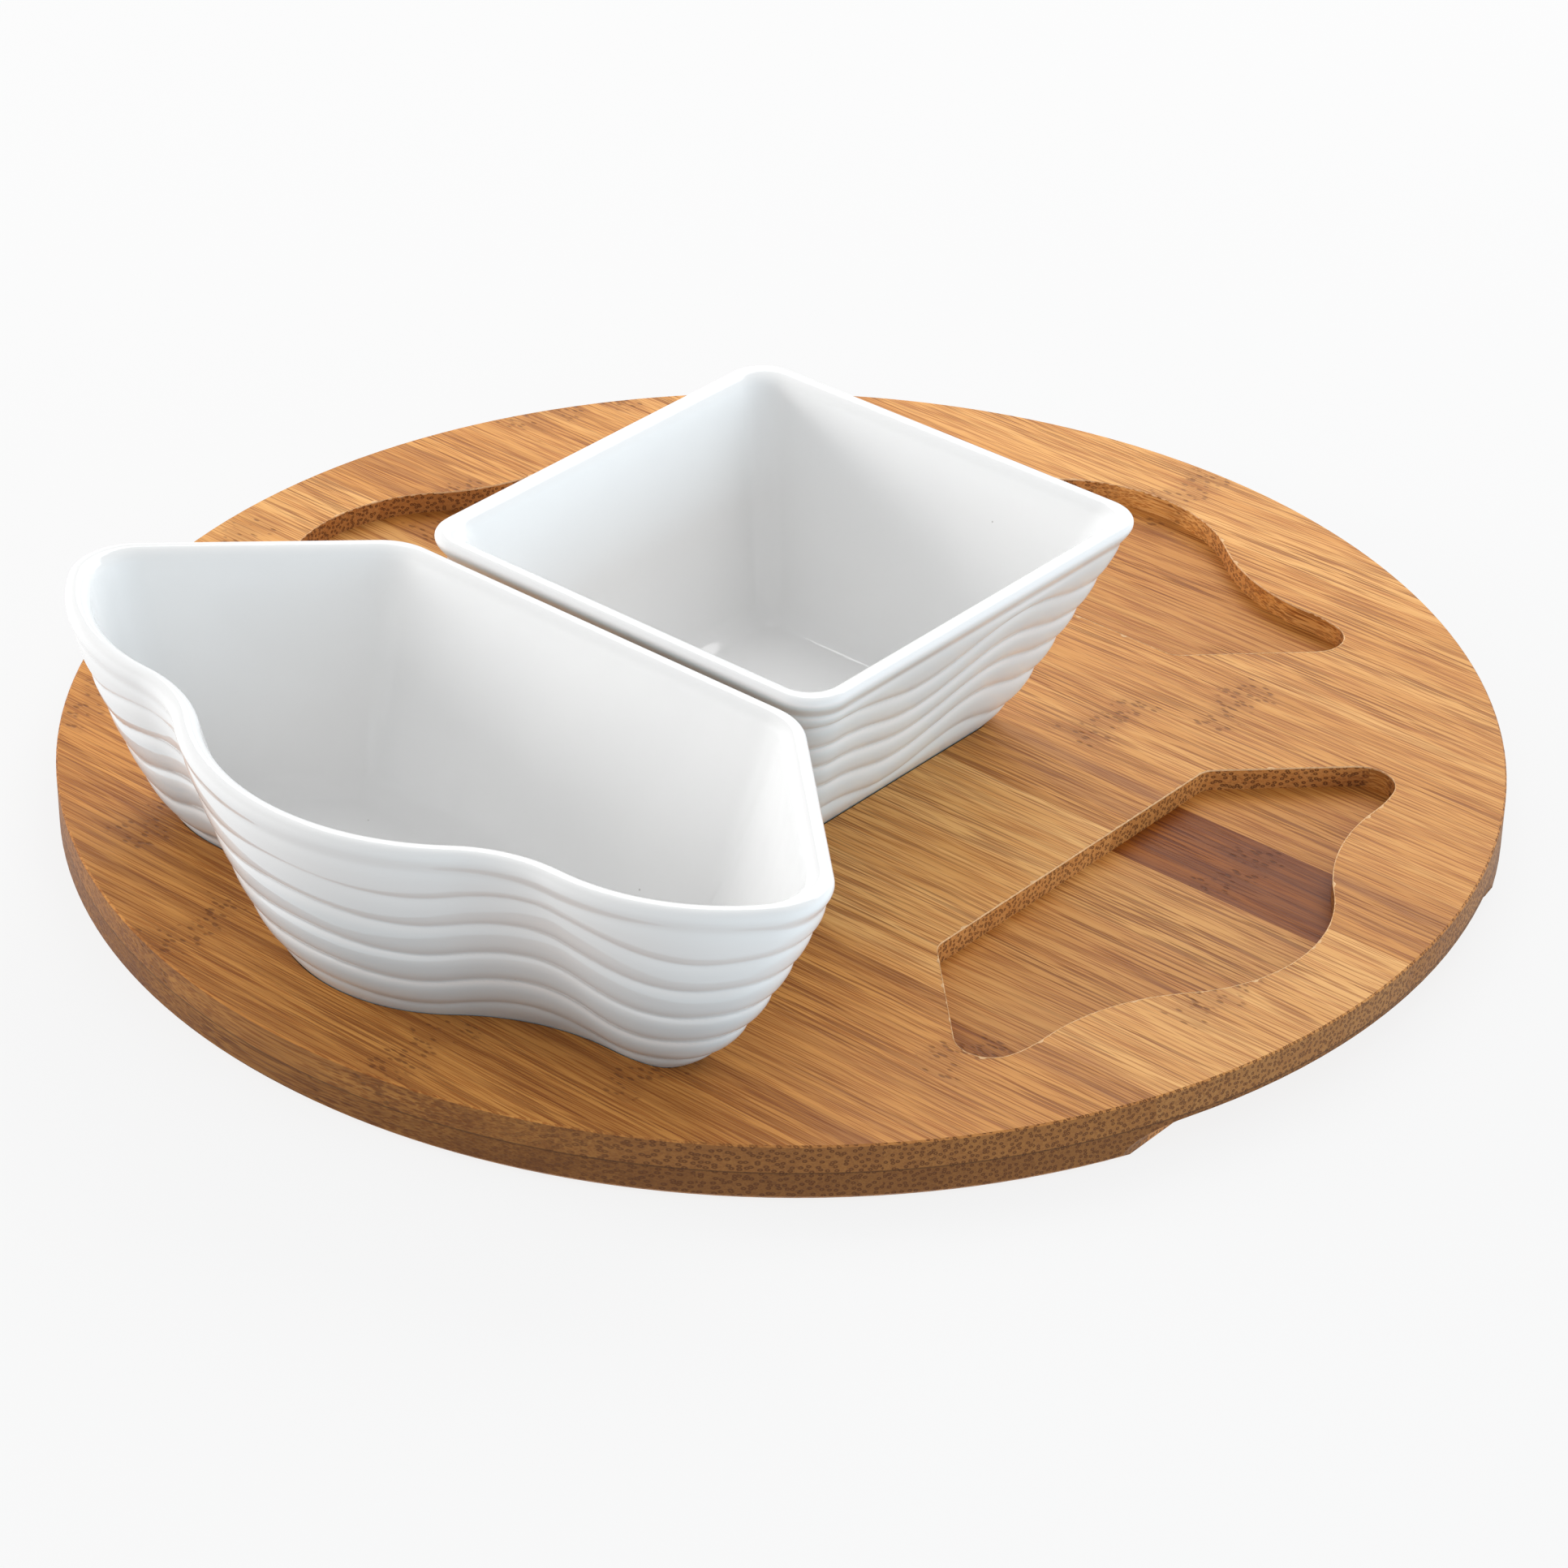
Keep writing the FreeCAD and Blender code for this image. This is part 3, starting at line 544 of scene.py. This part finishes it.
def square_outline(rise, inset):
    """Outline of the square dish at a rise above the tray's top, so far in from its outside."""
    share = flare_at(rise, SQUARE_FLARE)
    half = SQUARE_BASE[0] + (SQUARE_RIM[0] - SQUARE_BASE[0]) * share - inset
    radius = SQUARE_BASE[1] + (SQUARE_RIM[1] - SQUARE_BASE[1]) * share - inset * CORNER_SHARE
    straight = half - radius
    quarter = np.vstack([
        line_points((half, -straight), (half, straight), SQUARE_POINTS),
        arc_points((straight, straight), (half, straight), (straight, half), CORNER_POINTS),
    ])
    return np.vstack([quarter_turns(quarter, turns) for turns in range(4)])


def round_the_rim(outline):
    """Share of the way round the rim, from 0 to 1, at each point of the outline."""
    rim = outline(RIM_RISE - LIP, 0.0)
    steps = np.linalg.norm(np.roll(rim, -1, axis=0) - rim, axis=1)
    return (np.cumsum(steps) - steps) / steps.sum()


def smooth_through(at, value, where):
    """Cosine-eased curve through points, for values between them."""
    at, value = np.array(at), np.array(value)
    index = np.clip(np.searchsorted(at, where, side="right") - 1, 0, len(at) - 2)
    t = np.clip((where - at[index]) / (at[index + 1] - at[index]), 0, 1)
    return value[index] + (value[index + 1] - value[index]) * (1 - np.cos(math.pi * t)) / 2


# share of the way from the middle of the inner side to the front's middle, and the rise there in mm
WAVE_DRIFT_AT = (0.0, 0.125, 0.25, 0.375, 0.5, 0.6, 0.745, 0.878, 1.0)
WAVE_DRIFT = (1.5, -2.0, 2.0, -2.0, 1.2, -2.6, 2.7, -1.0, 0.7)
SQUARE_WAVES = 7
SIDE_MIDDLE = 0.125     # share of the way round, at the middle of the square dish's +X side
CREST_OFFSET = 0.020    # and from there to a crest


def wave_drift(share):
    """How far the wave dish's grooves rise and fall round it: the same on its two sides."""
    half_way = 1 - np.abs(2 * share - 1)
    return smooth_through(WAVE_DRIFT_AT, WAVE_DRIFT, half_way)


def square_drift(share):
    """How far the square dish's grooves rise and fall round it, in nearly even waves."""
    around = 2 * math.pi * (share - SIDE_MIDDLE - CREST_OFFSET)
    return 2.8 * np.cos(SQUARE_WAVES * around) + 0.35 * np.sin(3 * around)


WAVE_GROOVES = (41.2, 32.4, 22.9, 13.6, 4.7)      # heights above the tray's top
SQUARE_GROOVES = (42.2, 34.0, 26.2, 17.8, 8.3)
GROOVE_DEPTH = 0.85
GROOVE_SHARES = (0.85, 0.95, 1.0, 1.0, 0.9)     # of that depth, from the top groove down
LOW_DRIFT = 0.85        # share of the drift at the tray's top
DRIFT_GAIN = 0.25       # added to it by the rim
RIB_FLATNESS = 2.6      # power of a rib's section: higher is flatter
NECK_RISE = 48.6        # of the line under the rim
NECK_DEPTH = 0.5
FAINTING = 0.45         # share of its depth that the wave dish's top groove loses at its faintest
FAINT_AT = 0.97         # share of the way to the front's middle
FAINT_REACH = 0.07
PROBE = 2.0             # inset that shows which way inwards is, at each point of a wall


def groove_inset(rise, foot, grooves, drift, depths):
    """How far in the moulded wall is from the outside line, at one rise and all round the dish."""
    inset = np.zeros_like(drift)
    heights = [np.full_like(drift, NECK_RISE)]
    heights += [g + drift * (LOW_DRIFT + DRIFT_GAIN * g / RIM_RISE) for g in grooves]
    heights += [np.full_like(drift, foot)]
    edges = [np.full_like(drift, NECK_DEPTH)] + list(depths) + [np.zeros_like(drift)]
    for upper, lower, upper_depth, lower_depth in zip(heights, heights[1:], edges, edges[1:]):
        t = (rise - lower) / (upper - lower)
        inside = (t >= 0) & (t < 1)
        line = lower_depth + (upper_depth - lower_depth) * t
        bulge = 1 - np.abs(2 * t - 1) ** RIB_FLATNESS
        inset = np.where(inside, line * (1 - bulge), inset)
    if rise < NECK_RISE:
        return inset
    climbed = min((rise - NECK_RISE) / (RIM_RISE - LIP - NECK_RISE), 1)
    return np.full_like(drift, NECK_DEPTH * (1 + math.cos(math.pi * climbed)) / 2)


def dish_rings(outline, grooves, drift, depths, foot):
    """Rings from the foot's outer edge, over the lip and down to the inside floor."""
    share = round_the_rim(outline)
    drift, depths = drift(share), depths(share)
    flat = [(foot + FOOT_ROUND * (1 - math.cos(s)), FOOT_ROUND * (1 - math.sin(s)))
            for s in np.linspace(0, RIGHT_ANGLE, FOOT_RINGS)]
    rings = [np.column_stack([outline(r, i), np.full(len(share), r)]) for r, i in flat]
    for rise in np.arange(foot + FOOT_ROUND + RING_GAP, RIM_RISE - LIP - LIP_GAP, RING_GAP):
        inset = groove_inset(rise, foot, grooves, drift, depths)[:, None]
        flush, sunk = outline(rise, 0.0), outline(rise, PROBE)
        rings.append(np.column_stack([flush + (sunk - flush) * inset / PROBE,
                                      np.full(len(share), rise)]))
    lip = [(RIM_RISE - LIP * (1 - math.sin(s)), LIP * (1 - math.cos(s)))
           for s in np.linspace(0, RIGHT_ANGLE, LIP_RINGS)]
    lip += [(RIM_RISE - LIP * (1 - math.cos(s)), WALL - LIP * (1 - math.sin(s)))
            for s in np.linspace(0, RIGHT_ANGLE, LIP_RINGS)]
    rises = np.linspace(RIM_RISE - LIP, FLOOR_RISE + FLOOR_ROUND, WALL_RINGS + 2)[1:-1]
    wall = [(rise, WALL) for rise in rises]
    floor = [(FLOOR_RISE + FLOOR_ROUND * (1 - math.sin(s)), WALL + FLOOR_ROUND * (1 - math.cos(s)))
             for s in np.linspace(0, RIGHT_ANGLE, FLOOR_RINGS)]
    rings += [np.column_stack([outline(r, i), np.full(len(share), r)]) for r, i in lip + wall + floor]
    return rings


def closed_towards(ring, centre, steps):
    """Rings that shrink from a ring to a centre, at the ring's height."""
    centre = np.array([centre[0], centre[1], ring[0, 2]])
    return [centre + (ring - centre) * (1 - step / steps) for step in range(1, steps)]


def ring_faces(rows, count):
    """Faces that join rows of points, each row a closed ring of so many."""
    faces = []
    for row in range(rows - 1):
        for column in range(count):
            after = (column + 1) % count
            faces.append((row * count + column, row * count + after,
                          (row + 1) * count + after, (row + 1) * count + column))
    return faces


def signed_volume(points, faces):
    """Six times the volume inside faces, below zero where they face inwards."""
    total = 0.0
    for face in faces:
        for second, third in zip(face[1:], face[2:]):
            total += np.dot(points[face[0]], np.cross(points[second], points[third]))
    return total


def make_dish(name, outline, grooves, drift, depths, centre, materials):
    """A closed dish in rings of points, from the middle of its underside to that of its floor."""
    low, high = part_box(name)
    foot = (low.z - TRAY_TOP) / MM
    rings = dish_rings(outline, grooves, drift, depths, foot)
    rings += closed_towards(rings[-1], centre, HUB_STEPS)
    hub = np.array([centre[0], centre[1], foot])
    under = [hub + (rings[0] - hub) * share
             for share in np.linspace(1, RECESS_SHARE, BARE_STEPS + 1)[1:]]
    under.append(under[-1] + [0, 0, RECESS])
    under += closed_towards(under[-1], centre, HUB_STEPS)
    rings = under[::-1] + rings
    count = len(rings[0])
    points = np.vstack(rings)
    points[:, 2] += TRAY_TOP / MM
    poles = np.array([[centre[0], centre[1], rings[0][0, 2] + TRAY_TOP / MM],
                      [centre[0], centre[1], rings[-1][0, 2] + TRAY_TOP / MM]])
    points = np.vstack([points, poles]) * MM
    faces = ring_faces(len(rings), count)
    # 1 for a face that shows unglazed clay
    bare = [int(len(under) - BARE_STEPS <= row < len(under))
            for row in range(len(rings) - 1) for column in range(count)]
    first_pole = len(points) - 2
    last = (len(rings) - 1) * count
    for column in range(count):
        after = (column + 1) % count
        faces.append((first_pole, after, column))
        faces.append((last + column, last + after, first_pole + 1))
        bare += [0, 0]
    mesh = bpy.data.meshes.new(name + "_glazed")
    mesh.from_pydata(points.tolist(), [], faces)
    for material in materials:
        mesh.materials.append(material)
    mesh.polygons.foreach_set("material_index", bare)
    mesh.polygons.foreach_set("use_smooth", [True] * len(faces))
    mesh.validate()
    if signed_volume(points, faces) < 0:
        mesh.flip_normals()
    dish = bpy.data.objects.new(name + "_glazed", mesh)
    scene.collection.objects.link(dish)
    made_low, made_high = points.min(0), points.max(0)
    for axis in range(3):
        if (made_low[axis] < low[axis] - BOX_SLACK * MM or
                made_high[axis] > high[axis] + BOX_SLACK * MM):
            raise RuntimeError("%s leaves the CAD dish's box" % name)
    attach(dish, name)
    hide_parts(name)


def square_depths(share):
    """Depth of each groove all round the square dish."""
    return [np.full_like(share, GROOVE_DEPTH * part) for part in GROOVE_SHARES]


def wave_depths(share):
    """Depth of each groove all round the wave dish. The top one is faint in the middle of the front."""
    half_way = 1 - np.abs(2 * share - 1)
    depths = square_depths(share)
    depths[0] *= 1 - FAINTING * np.exp(-((half_way - FAINT_AT) / FAINT_REACH) ** 2)
    return depths


bare_foot = foot_material()
# painted cool shade for each dish's outside wall, against the warm light the tray bounces onto it; on
# the wave dish it grows darker towards the bottom
SQUARE_PAINTED_COOL_SHADE = linear(239, 251, 255)
WAVE_PAINTED_COOL_SHADE = linear(220, 232, 238)
square_glaze = glaze_material("square_glaze", 0.078, 0.066, SQUARE_PAINTED_COOL_SHADE)
wave_glaze = glaze_material("wave_glaze", 0.062, 0.018, WAVE_PAINTED_COOL_SHADE)
SQUARE_CENTRE = (0.0, 0.0)
WAVE_CENTRE = (0.0, -118.0)
make_dish("square_dish", square_outline, SQUARE_GROOVES, square_drift, square_depths,
          SQUARE_CENTRE, (square_glaze, bare_foot))
make_dish("wave_dish", wave_outline, WAVE_GROOVES, wave_drift, wave_depths,
          WAVE_CENTRE, (wave_glaze, bare_foot))


# ---------------------------------------------------------------- pocket edges

RAW_FIBRE = (linear(196, 142, 86), linear(240, 206, 164))
POINT_GAP = 0.7         # mm between the thread's points, round the pocket
THREAD_WIDTH = (0.10, 0.22)     # the least, and how much chance may add
BURRS = 14              # places where the thread is wider
BURR_POINTS = 2
# the thread's section, from the pocket outwards: share of its width, and rise above the tray's top
THREAD_SECTION = ((-0.06, -0.30), (-0.10, -0.02), (0.35, 0.09), (1.0, 0.0))


def raw_edge_material():
    """Pale raised fibres where a pocket's edge was cut and not sanded."""
    material, graph, shader = new_material("raw_edge")
    place = graph.node("TexCoord").outputs["Object"]
    grit = graph.noise(place, 1400.0, 2.0, 0.6)
    graph.plug(graph.blend(grit, *RAW_FIBRE), shader.inputs["Base Color"])
    shader.inputs["Roughness"].default_value = 0.8
    shader.inputs["Specular IOR Level"].default_value = 0.1
    return material


def make_raw_edge(name, turns, material):
    """A ragged thread of raised fibres round the pocket so many quarter turns on from the -Y one."""
    outline = wedge_outline(POCKET)
    closed = np.vstack([outline, outline[:1]])
    count = int(np.linalg.norm(np.diff(closed, axis=0), axis=1).sum() / POINT_GAP)
    edge = evenly(closed, count)
    along = np.roll(edge, -1, axis=0) - np.roll(edge, 1, axis=0)
    along /= np.linalg.norm(along, axis=1)[:, None]
    outward = np.column_stack([along[:, 1], -along[:, 0]])
    if ((edge - edge.mean(0)) * outward).sum() < 0:
        outward = -outward
    chance = np.random.default_rng(turns)
    width = THREAD_WIDTH[0] + THREAD_WIDTH[1] * chance.random(count) ** 2
    for place in chance.integers(0, count, BURRS):
        width[place:place + BURR_POINTS] += 0.25 + 0.5 * chance.random()
    rows = []
    for share, rise in THREAD_SECTION:
        flat = edge + outward * (width * share)[:, None]
        height = rise * (0.5 + chance.random(count)) if rise > 0 else np.full(count, rise)
        rows.append(np.column_stack([quarter_turns(flat, turns), TRAY_TOP / MM + height]))
    points = np.vstack(rows) * MM
    mesh = bpy.data.meshes.new(name)
    mesh.from_pydata(points.tolist(), [], ring_faces(len(rows), count))
    mesh.materials.append(material)
    thread = bpy.data.objects.new(name, mesh)
    scene.collection.objects.link(thread)
    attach(thread, "tray")


raw_edge = raw_edge_material()
for name, turns in (("raw_edge_plus_x", 1), ("raw_edge_plus_y", 2), ("raw_edge_minus_x", 3)):
    make_raw_edge(name, turns, raw_edge)


# ---------------------------------------------------------------- floor and light

FLOOR_REACH = 6.0       # metres to each side
FLOOR_CUTS = 24
FLOOR_DROP = 0.0004     # so that the tray's underside doesn't flicker into it
FLOOR_GREY = (linear(84, 84, 84), linear(86, 86, 86))
FLOOR_GLOW = 0.84


def make_floor():
    """A pale floor that glows like a light table, so the tray throws next to no shadow on it."""
    grid = np.linspace(-FLOOR_REACH, FLOOR_REACH, FLOOR_CUTS + 1)
    points = [(x, y, -FLOOR_DROP) for y in grid for x in grid]
    side = FLOOR_CUTS + 1
    faces = []
    for row in range(FLOOR_CUTS):
        for column in range(FLOOR_CUTS):
            first = row * side + column
            faces.append((first, first + 1, first + side + 1, first + side))
    mesh = bpy.data.meshes.new("floor")
    mesh.from_pydata(points, [], faces)
    floor = bpy.data.objects.new("floor", mesh)
    scene.collection.objects.link(floor)
    material, graph, shader = new_material("pale_floor")
    place = graph.node("TexCoord").outputs["Object"]
    cloud = graph.noise(place, 3.0)
    graph.plug(graph.blend(cloud, *FLOOR_GREY), shader.inputs["Base Color"])
    shader.inputs["Roughness"].default_value = 0.9
    shader.inputs["Specular IOR Level"].default_value = 0.0
    shader.inputs["Emission Color"].default_value = (1.0, 1.0, 1.0, 1.0)
    shader.inputs["Emission Strength"].default_value = FLOOR_GLOW
    mesh.materials.append(material)
    # the world below the horizon lights the tray and the dishes from below instead
    floor.visible_diffuse = False
    floor.visible_shadow = False


LAMP_AIM = Vector((0.0, 0.0, 0.03))
KEY_LAMP = (1.2, 0.7)
SIDE_LAMP = (0.8, 0.34)
NEUTRAL = (1.0, 1.0, 1.0)
COOL = (0.68, 0.87, 1.0)


def area_light(name, place, size, power, colour):
    """A rectangular lamp that the camera doesn't see, turned to the dishes. Metres and watts."""
    light = bpy.data.lights.new(name, "AREA")
    light.shape = "RECTANGLE"
    light.size, light.size_y = size
    light.energy = power
    light.color = colour
    lamp = bpy.data.objects.new(name, light)
    lamp.location = place
    lamp.visible_camera = False
    lamp.rotation_euler = (LAMP_AIM - Vector(place)).to_track_quat("-Z", "Y").to_euler()
    scene.collection.objects.link(lamp)
    return lamp


def from_view(right, away, up):
    """A point so far to the right, away and up from the tray's middle, as the camera sees it."""
    angle = math.radians(CAMERA_AZIMUTH)
    return (right * math.cos(angle) - away * math.sin(angle),
            right * math.sin(angle) + away * math.cos(angle), up)


make_floor()
area_light("key", from_view(0.30, 0.85, 0.85), KEY_LAMP, 9.0, NEUTRAL)
right_lamp = area_light("right", from_view(1.10, -0.70, 0.22), SIDE_LAMP, 8.0, COOL)
left_lamp = area_light("left", from_view(-1.25, 0.20, 0.30), SIDE_LAMP, 10.0, NEUTRAL)
right_lamp.visible_glossy = False
left_lamp.visible_glossy = False


SIDES_GLOW = (1.14, 1.15, 1.16, 1.0)
CAMERA_SIDE_GLOW = linear(220, 220, 220)
OVERHEAD_GLOW = linear(214, 214, 214)
BELOW_GLOW = linear(200, 201, 202)


def make_world():
    """A light tent: brightest to the sides and behind, dimmer by the camera, overhead and below."""
    world = bpy.data.worlds.new("studio")
    world.use_nodes = True
    graph = Graph(world.node_tree)
    place = graph.node("TexCoord").outputs["Generated"]
    height = graph.axes(place)[2]
    angle = math.radians(CAMERA_AZIMUTH)
    camera_side = (math.sin(angle), -math.cos(angle), 0.0)
    towards = graph.node("VectorMath", {0: place, 1: camera_side}, operation="DOT_PRODUCT")
    towards = graph.step(towards.outputs["Value"], 0.1, 0.85)
    level = graph.blend(towards, SIDES_GLOW, CAMERA_SIDE_GLOW)
    level = graph.blend(graph.step(height, 0.12, 0.70), level, OVERHEAD_GLOW)
    level = graph.blend(graph.step(height, 0.0, -0.04), level, BELOW_GLOW)
    graph.plug(level, world.node_tree.nodes["Background"].inputs["Color"])
    return world


scene.world = make_world()
